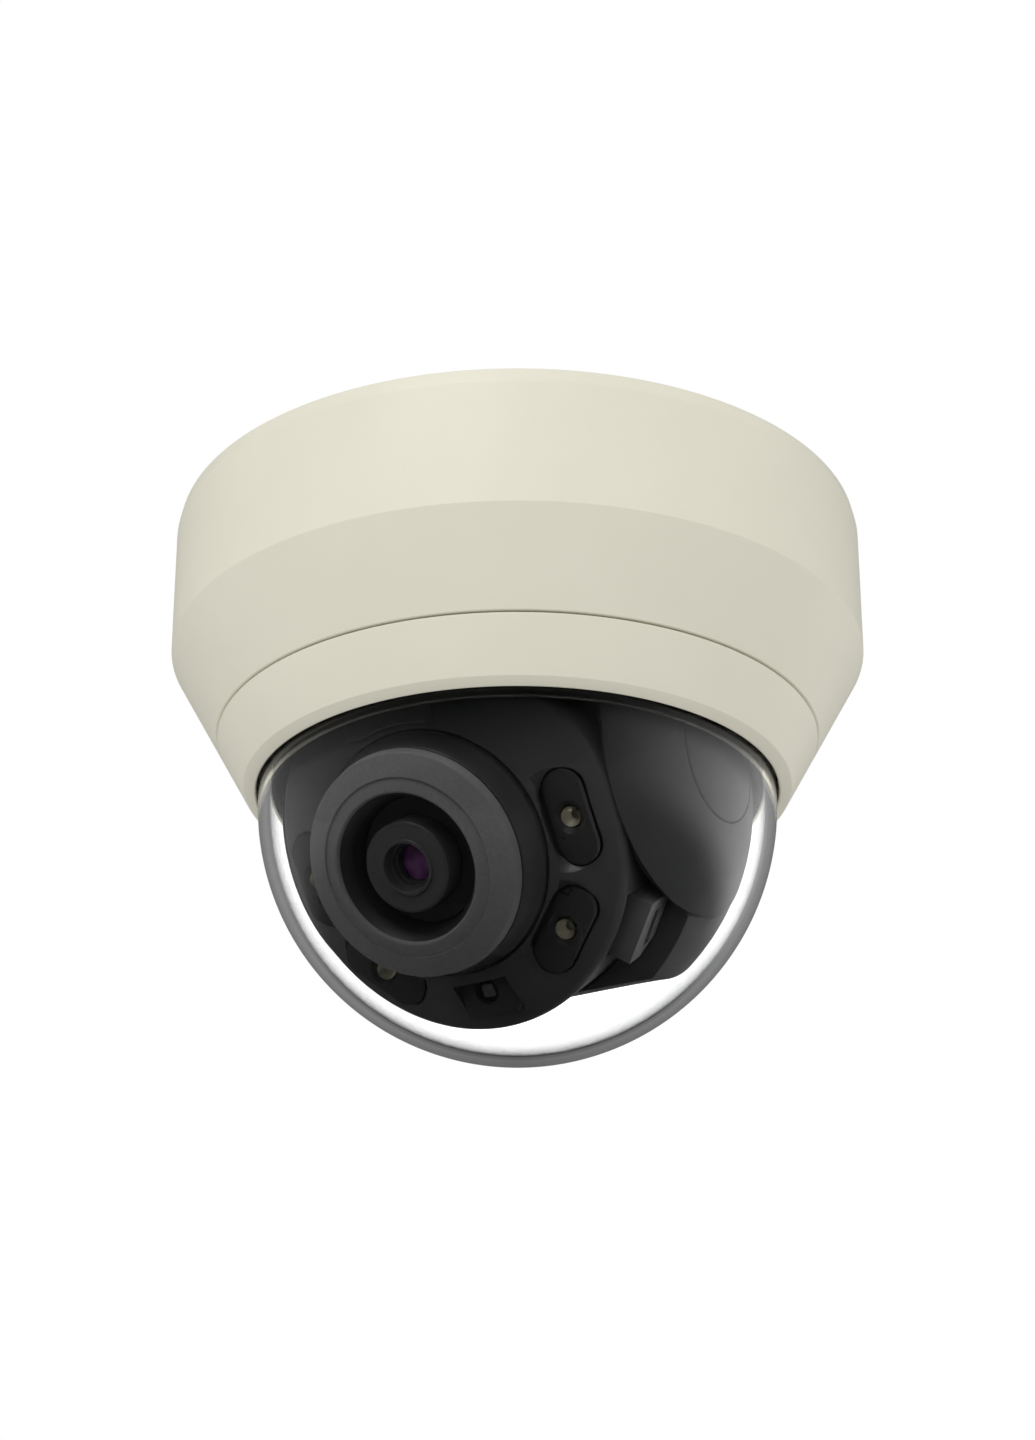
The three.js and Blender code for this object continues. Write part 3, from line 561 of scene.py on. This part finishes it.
def makeFrontShell():
    outside = frontProfile(0, head["shellBack"])
    inside = frontProfile(head["wall"], head["shellBack"])[::-1]
    outside[0] = outside[0] + (0.25,)
    outside[-1] = outside[-1] + (0.4,)
    mesh = turnedMesh("front", softProfile(outside + inside, steps=8), 256)
    tools = []
    for angle in windows["angles"]:
        grown = [slotOutline(windows["length"] + 2 * g, windows["width"] + 2 * g)
                 for g in (windows["groove"], windows["rim"] + 1.0)]
        tools.append(onPitch(loftMesh("through", [(grown[0], 8), (grown[0], 40)]), angle))
        foot = 2 * windows["groove"] + 0.2
        narrow = slotOutline(windows["length"] + foot, windows["width"] + foot)
        bevel = loftMesh("bevel", [(narrow, windowFace - 0.1), (grown[1], windowFace + 1.6)])
        tools.append(onPitch(bevel, angle))
    tools.append(boxMesh("panel", -panel["half"], panel["half"], panel["low"], panel["high"], 10, 40))
    gap = latch["gap"]
    room = boxMesh("latchRoom", latch["from"] - gap, 45, -latch["half"] - gap, latch["half"] + gap,
                   latch["back"] - gap, latch["front"] + gap)
    tools.append(spun(room, -latch["angle"]))
    mesh = bevelled(carved(mesh, *tools), 0.16, 2, 40)
    addPiece("headFrontShell", mesh, headPlace, faceBlack.material, "tilt_head", ["front_shell"])


strip = {
    "left": -9.6,
    "right": 7.2,
    "low": 20.6,
    "height": 0.9,
    "sunk": 0.6,
    "inner": 21.3,
    "proud": 0.7,
    "foot": 12,
}


def makeTopStrip():
    h, sunk, inner, foot = strip["height"], strip["sunk"], strip["inner"], strip["foot"]
    r = head["corner"] + strip["proud"]
    profile = softProfile([
        (inner, faceAt(inner) + h, 0.3),
        (26, faceAt(26) + h),
        (29.6, faceAt(29.6) + h),
        (r, faceAt(r) + h - 0.1, 2.2),
        (r, foot, 0.4),
        (30.6, foot),
        (30.6, 23.5),
        (28.8, faceAt(28.8) - sunk),
        (26, faceAt(26) - sunk),
        (inner, faceAt(inner) - sunk),
    ], steps=8)
    whole = turnedMesh("strip", profile, 256)
    window = boxMesh("stripWindow", strip["left"], strip["right"], strip["low"], 40, 0, 50)
    mesh = bevelled(kept(whole, window), 0.3, 3, 40)
    addPiece("headTopStrip", mesh, headPlace, faceBlack.material, "tilt_head")


cup = {"sunk": 1.5, "floor": 0.3, "height": 0.9, "radius": 1.4, "mouth": 1.2, "bottom": 0.4}


def makeWindows():
    for i, angle in enumerate(windows["angles"], 1):
        plate = loftMesh("plate", [(slotOutline(windows["length"], windows["width"], 24), z)
                                   for z in (windowFace - 1, windowFace)])
        low, wall = windowFace - windows["sinkDepth"], windows["led"] + windows["sinkPlay"]
        rim = wall + windows["sinkRim"]
        sink = turnedMesh("sink", [(0, low), (wall, low), (rim, windowFace + 0.05), (rim, 60), (0, 60)], 48)
        plate = bevelled(carved(plate, rodMesh("hole", wall, 0, 60, 48), sink), 0.15, 2, 40)
        addPiece(f"ledWindow.{i}", onPitch(plate, angle), headPlace, satinBlack.material, "tilt_head",
                 [f"led_plate_{i}"])
        r, low = windows["led"], windows["ledFoot"]
        top = [(x, z + windowFace - windows["ledSunk"]) for x, z in arcPoints(r, 0, 90, 16)]
        led = turnedMesh("led", [(0, low), (r, low)] + top, 48)
        addPiece(f"ledDome.{i}", onPitch(led, angle), headPlace, ledResin.material, "tilt_head",
                 [f"led_{i}"])
        floor = windowFace - cup["sunk"]
        low, high = floor - cup["floor"], floor + cup["height"]
        bowl = turnedMesh("cup", [(0, floor), (0, low), (cup["radius"], low), (cup["radius"], high),
                                  (cup["mouth"], high), (cup["bottom"], floor)], 48)
        addPiece(f"ledCup.{i}", onPitch(bowl, angle), headPlace, ledCup.material, "tilt_head", ())


def makeSensorPanel():
    top = faceAt(25.3) - panel["sunk"]
    middle, half = panel["sensorAt"], panel["lens"]
    plate = boxMesh("bezel", -panel["half"] + 0.3, panel["half"] - 0.15, panel["low"] + 0.15,
                    panel["high"] - 0.3, top - 1.5, top)
    hole = shifted(rodMesh("eye", panel["hole"], 0, 60), y=middle)
    plate = bevelled(carved(plate, hole), 0.15, 2, 40)
    addPiece("sensorPanel", plate, headPlace, satinBlack.material, "tilt_head", ["sensor_bezel"])
    glass = boxMesh("lens", -half, half, middle - half, middle + half, top - 1.8, top - 0.5)
    glass = bevelled(glass, 0.2, 3, 40)
    addPiece("sensorLens", glass, headPlace, sensorGlass.material, "tilt_head", ["light_sensor"])
    seat = boxMesh("seat", -2.6, 2.6, middle - 2.4, middle + 2.4, top - 3, top - 1.85)
    addPiece("sensorSeat", seat, headPlace, chipBlack.material, "tilt_head")


rear = {
    "drum": 33.4,
    "back": -24.0,
    "cheeks": 13.4,       # the sides reach this far forward
    "top": 26.0,          # the upper side's own radius, and its arc in degrees
    "topFrom": -67.4,
    "topTo": 12.2,
    "half": 30.8,
    "seat": 31.6,
    "seatBack": 7.7,
}


def makeRearShell():
    drum = rear["drum"]
    lowStart = 180 - math.degrees(math.asin(rear["cheeks"] / drum))
    lowEnd = 180 - math.degrees(math.asin(rear["back"] / drum))
    outline = arcPoints(drum, lowStart, lowEnd, 48)
    outline += arcPoints(rear["top"], rear["topFrom"], rear["topTo"], 48)
    block = onItsSide(loftMesh("drum", [(outline, -rear["half"]), (outline, rear["half"])]))
    ball = turnedMesh("ball", arcPoints(head["ball"] - 0.2, -90, 90, 96), 192)
    seat = rodMesh("seat", rear["seat"], rear["seatBack"], 30, 128)
    hollow = boxMesh("hollow", -26, 26, -20, 16, -18, 20)
    cable = boxMesh("cable", -5, 5, -2, 6, -40, -10)
    mesh = carved(bevelled(carved(kept(block, ball), seat), 0.6, 3, 38), hollow, cable)
    addPiece("headRearShell", mesh, headPlace, faceBlack.material, "tilt_head", ["rear_shell"])


def makeLatch():
    half, end = latch["half"], latch["front"] - latch["shorter"]
    tab = [(-half, end + latch["shorter"] / 2), (-half, end - 3), (-half + 3, latch["back"]),
           (half, latch["back"]), (half, end)]
    body = onItsSide(loftMesh("latch", [(tab, latch["foot"]), (tab, latch["top"])]))
    fingerSlot = boxMesh("slot", latch["slotFloor"], 50, -latch["slotHalf"], latch["slotHalf"],
                         latch["slotBack"], latch["slotFront"])
    body = spun(bevelled(carved(body, fingerSlot), 0.5, 2, 60), -latch["angle"])
    body = kept(body, boxMesh("room", 0, head["earPlane"] - latch["gap"], -60, 60, 0, 60))
    addPiece("latchTab", body, headPlace, latchBlack.material, "tilt_head", ["latch"])


ear = {"skin": 1.8, "top": -24.5, "hole": 11.1, "cap": 10.8, "capInside": 36.6, "columns": 72, "rows": 40}


def earMesh(name):
    # a skin on the ball below the head's centre, and straight up above it
    ball, plane = head["ball"], head["earPlane"]
    top = ear["top"] - headCentre.z
    limit = math.acos(plane / ball)
    columns, rows = ear["columns"], ear["rows"]
    bm = bmesh.new()
    grid = []
    for i in range(columns + 1):
        a = limit * (2 * i / columns - 1) * 0.9995
        column = [Vector((ball * math.cos(a), ball * math.sin(a), top * (1 - k / 8))) for k in range(8)]
        reach = math.acos(min(1, plane / (ball * math.cos(a))))
        for k in range(rows + 1):
            b = reach * k / rows
            column.append(Vector((ball * math.cos(b) * math.cos(a), ball * math.cos(b) * math.sin(a),
                                  -ball * math.sin(b))))
        grid.append([bm.verts.new(p) for p in column])
    for one, two in zip(grid, grid[1:]):
        for k in range(len(one) - 1):
            bm.faces.new((one[k], one[k + 1], two[k + 1], two[k]))
    bmesh.ops.remove_doubles(bm, verts=bm.verts, dist=0.002)
    mesh = meshFrom(name, bm)
    if sum(p.normal.x * p.area for p in mesh.polygons) < 0:
        mesh.flip_normals()
    return mesh


def makeEars():
    for side, name in ((1, "Right"), (-1, "Left")):
        skin = withModifier(earMesh("ear"), "SOLIDIFY", thickness=ear["skin"], offset=-1)
        hole = spun(rodMesh("hole", ear["hole"], 20, 60, 128), 90, "Y")
        skin = bevelled(carved(skin, hole), 0.2, 2, 40)
        ballAt = [(r, math.sqrt(head["ball"] ** 2 - r * r)) for r in (0, 2, 4, 6, 8, 9.4, ear["cap"])]
        profile = ballAt[:-1] + [ballAt[-1] + (0.35,), (ear["cap"], ear["capInside"]), (0, ear["capInside"])]
        cap = spun(turnedMesh("cap", softProfile(profile, closed=False), 128), 90, "Y")
        if side < 0:
            for mesh in (skin, cap):
                mesh.transform(Matrix.Scale(-1, 4, (1, 0, 0)))
                mesh.flip_normals()
        addPiece(f"ear{name}", skin, panPlace, black.material, "pan_yoke", [f"ear_cover_{name.lower()}"])
        addPiece(f"pivotCap{name}", cap, panPlace, black.material, "pan_yoke", [f"pivot_cap_{name.lower()}"])


lens = {
    "collar": 20.0,
    "collarTop": 18.65,
    "collarForward": 35.4,
    "foam": 18.2,
    "foamStep": 14.6,
    "foamBore": 12.3,
    "touch": 0.4,        # gap between the foam and the bubble
    "barrel": 7.4,
    "barrelForward": 39.2,
    "bore": 3.9,
}
foamBall = domeInner - lens["touch"]


def foamAt(r):
    return math.sqrt(foamBall ** 2 - r * r)


def makeCollar():
    profile = softProfile([
        (14.4, 25.4),
        (21.5, 25.4, 0.2),
        (21.5, 26.6, 0.2),
        (20.0, 27.0),
        (lens["collar"], 30.9, 0.3),
        (19.35, 32.2),
        (18.95, 33.7),
        (lens["collarTop"], lens["collarForward"], 0.25),
        (14.4, lens["collarForward"], 0.2),
    ])
    addPiece("lensCollar", turnedMesh("collar", profile), headPlace, black.material, "lens_rotator",
             ["lens_collar"])


def makeFoam():
    foot = lens["collarForward"] + 0.3
    rings = [lens["foam"] - 0.6 - i * 0.5 for i in range(7)]
    profile = [(lens["foam"] + 0.4, foot, 0.2), (lens["foam"], foamAt(lens["foam"]), 0.35)]
    profile += [(r, foamAt(r)) for r in rings if r > lens["foamStep"]]
    profile += [
        (lens["foamStep"], foamAt(lens["foamStep"]), 0.1),
        (lens["foamStep"] - 0.1, foamAt(lens["foamStep"]) - 0.25, 0.05),
        (13.4, foamAt(13.4) - 0.2),
        (lens["foamBore"], foamAt(lens["foamBore"]) - 0.3, 0.35),
        (11.2, 37.0, 0.3),
        (10.7, 32.4),
        (14.1, 32.4),
        (14.1, foot),
    ]
    addPiece("foamRing", turnedMesh("foam", softProfile(profile)), headPlace, foam.material, "lens_rotator",
             ["foam_ring"])
    front = foamAt(lens["foamBore"]) - 0.9
    sleeve = softProfile([
        (lens["foamBore"] - 0.05, front, 0.1),
        (lens["foamBore"] - 0.3, front, 0.1),
        (10.9, 37.0, 0.2),
        (10.4, 32.6),
        (10.75, 32.6),
        (11.25, 37.0, 0.2),
    ])
    addPiece("foamSleeve", turnedMesh("sleeve", sleeve), headPlace, linerBlack.material, "lens_rotator")


def makeBarrel():
    top, r, bore = lens["barrelForward"], lens["barrel"], lens["bore"]
    profile = softProfile([
        (4.4, 20),
        (6, 20, 0.2),
        (6, 34.6),
        (r, 34.6, 0.2),
        (r, top - 0.2, 0.3),
        (r - 0.6, top, 0.15),
        (4.6, top, 0.1),
        (4.5, top + 0.25, 0.08),
        (bore + 0.1, top + 0.25, 0.1),
        (bore, top - 1.6, 0.1),
        (bore - 0.45, top - 1.7, 0.1),
        (bore - 0.5, top - 2.4, 0.1),
        (bore - 0.9, top - 2.5, 0.1),
        (bore - 0.7, top - 5.5),
        (4.4, top - 6),
    ])
    addPiece("lensBarrel", turnedMesh("barrel", profile, 128), headPlace, barrelBlack.material,
             "focus_barrel", ["lens_barrel"])
    glassTop = top - 2.6
    glassRadius = bore - 1
    sphere = glassRadius / math.sin(math.radians(40))
    curve = [(x, z + glassTop - sphere) for x, z in arcPoints(sphere, 50, 90, 10)]
    profile = [(0, glassTop - 2.2), (glassRadius, glassTop - 2.2)] + curve
    addPiece("frontGlass", turnedMesh("glass", profile, 96), headPlace,
             coatedGlass.material, "focus_barrel", ["front_element"])


makeCover()
makeTrimRing()
makeBubble()
makeLiner()
print("housing made")
makeFrontShell()
makeTopStrip()
makeWindows()
makeSensorPanel()
makeRearShell()
makeLatch()
makeEars()
print("head made")
makeCollar()
makeFoam()
makeBarrel()
print("lens made")

# the other pieces keep their plain shape
paint(basePaint, "base_plate")
paint(rubber, "cable_grommet", "dome_seal")
paint(greenBoard, "main_board", "sensor_board")
paint(chipBlack, "led_board")
paint(terminalGreen, "power_terminal")
paint(jackSteel, "network_jack", "sd_slot", "reset_switch")
paint(chipBlack, "processor", "sd_card", "reset_button")
paint(sinkAluminium, "heat_sink")
paint(black, "pan_base", "pan_retainer", "yoke", "lens_holder", "filter_slider")
paint(coatedGlass, "cut_filter")
paint(chipBlue, "image_sensor")
screws = [f"{kind}_screw_{i}" for kind in ("chassis", "board", "retainer") for i in (1, 2, 3)]
paint(screwSteel, "pivot_screw_right", "pivot_screw_left", *screws)

for name in ("base_plate", "cable_grommet", "network_jack", "yoke", "pan_base"):
    soften = frame["nodes"][name].modifiers.new("soften", "BEVEL")
    soften.width = 0.0002
    soften.segments = 2
    soften.limit_method = "ANGLE"
    soften.angle_limit = math.radians(40)

studio = {
    "cameraBelow": 24.9,      # degrees that the camera looks up
    "cameraAway": 0.5469,
    "aimHeight": -0.03475,
    "lensLength": 79.08,
    "floorHeight": -0.42,
    "backdrop": 1.0,
    "throughGlass": 2.2,      # the backdrop where it shows through the bubble
    "fill": 0.86,             # soft light from all round
    "insideFill": 1.45,       # the same, for what is inside the bubble
    "insideWalls": 8.0,
    "rightWall": 0.85,        # the bright walls, in mirror images
    "leftWall": 0.25,
    "darkSide": 0.01,
    "backGrey": 0.15,         # straight behind, in mirror images
    "backSides": 0.25,
    "key": 9.0,
}


def makeWorld():
    world = bpy.data.worlds.new("studioWorld")
    world.use_nodes = True
    nodes, links = world.node_tree.nodes, world.node_tree.links

    def join(kind, settings, values, result):
        node = nodes.new(kind)
        for key, value in settings.items():
            setattr(node, key, value)
        for socket, value in values.items():
            if isinstance(value, (int, float, tuple)):
                node.inputs[socket].default_value = value
            else:
                links.new(value, node.inputs[socket])
        return node.outputs[result]

    def sums(kind, one, two):
        return join("ShaderNodeMath", {"operation": kind}, {0: one, 1: two}, 0)

    def between(fac, low, high):
        return join("ShaderNodeMix", {}, {"Factor": fac, "A": low, "B": high}, "Result")

    def rise(value, start, end, low=0.0, high=1.0):
        values = {"Value": value, "From Min": start, "From Max": end, "To Min": low, "To Max": high}
        return join("ShaderNodeMapRange", {"interpolation_type": "SMOOTHSTEP"}, values, "Result")

    path = nodes.new("ShaderNodeLightPath")
    where = nodes.new("ShaderNodeTexCoord").outputs["Generated"]
    split = nodes.new("ShaderNodeSeparateXYZ")
    links.new(where, split.inputs[0])
    aside = sums("ABSOLUTE", split.outputs["X"], 0)
    back = math.radians(studio["cameraBelow"])
    backWay = (0.0, math.cos(back), math.sin(back))
    towardBack = join("ShaderNodeVectorMath", {"operation": "DOT_PRODUCT"}, {0: where, 1: backWay}, "Value")
    # the room in mirror images: a bright wall to each side, dark in front and below, grey straight behind
    walls = sums("MULTIPLY", rise(aside, 0.3, 0.8), rise(towardBack, -0.9, 0.45))
    walls = sums("MULTIPLY", walls, rise(split.outputs["Z"], -0.28, 0.02))
    walls = sums("MULTIPLY", walls, rise(split.outputs["Z"], 0.15, 0.55, 1.0, 0.3))
    leftToRight = rise(split.outputs["X"], -0.3, 0.3, studio["leftWall"], studio["rightWall"])
    walls = sums("MULTIPLY", walls, leftToRight)
    backGlow = sums("ADD", sums("MULTIPLY", aside, studio["backSides"]), studio["backGrey"])
    behind = rise(towardBack, 0.80, 0.85)
    mirrored = between(behind, sums("ADD", walls, studio["darkSide"]), backGlow)
    inside = sums("ADD", sums("MULTIPLY", walls, studio["insideWalls"]), studio["insideFill"])
    lit = between(sums("GREATER_THAN", path.outputs["Transmission Depth"], 0.5), studio["fill"], inside)
    seen = sums("MAXIMUM", path.outputs["Is Glossy Ray"], path.outputs["Is Transmission Ray"])
    lit = between(seen, lit, mirrored)
    # the backdrop shows where nothing but clear pieces is in the way
    bounces = sums("ADD", path.outputs["Glossy Depth"], path.outputs["Diffuse Depth"])
    clearWay = sums("MULTIPLY", path.outputs["Is Transmission Ray"], sums("LESS_THAN", bounces, 0.5))
    straight = sums("MAXIMUM", path.outputs["Is Camera Ray"], clearWay)
    shown = between(path.outputs["Is Camera Ray"], studio["throughGlass"], studio["backdrop"])
    links.new(between(straight, lit, shown), nodes["Background"].inputs["Strength"])
    nodes["Background"].inputs["Color"].default_value = (1, 1, 1, 1)
    bpy.context.scene.world = world


def addSoftbox(name, power, size, place, aim):
    light = bpy.data.lights.new(name, "AREA")
    light.energy = power
    light.size = size
    obj = bpy.data.objects.new(name, light)
    obj.location = place
    obj.rotation_mode = "QUATERNION"
    obj.rotation_quaternion = (Vector(aim) - Vector(place)).to_track_quat("-Z", "Y")
    bpy.context.scene.collection.objects.link(obj)


def makeStudio():
    scene = bpy.context.scene
    scene.view_settings.view_transform = "Standard"
    makeWorld()
    addSoftbox("keySoftbox", studio["key"], 1.0, (-0.5, -1.3, 1.3), (0, 0, -0.03))
    mesh = boxMesh("floor", -3, 3, -3, 3, -0.01, 0)
    floor = tempObject(mesh)
    floor.name = "studioFloor"
    floor.location.z = studio["floorHeight"]
    pale = plastic("floorPaper", (0.78, 0.78, 0.78), (0.82, 0.82, 0.82), 0.8, 300, 0.00005)
    mesh.materials.append(pale.material)
    floor.visible_glossy = False
    floor.visible_transmission = False
    camera = bpy.data.objects.new("studioCamera", bpy.data.cameras.new("studioCamera"))
    scene.collection.objects.link(camera)
    angle = math.radians(studio["cameraBelow"])
    away = Vector((0, -math.cos(angle), -math.sin(angle))) * studio["cameraAway"]
    camera.location = Vector((0, 0, studio["aimHeight"])) + away
    camera.rotation_mode = "QUATERNION"
    camera.rotation_quaternion = (-away).to_track_quat("-Z", "Y")
    camera.data.lens = studio["lensLength"]
    camera.data.sensor_width = 36
    camera.data.clip_start = 0.01
    scene.camera = camera


makeStudio()
print("studio made")
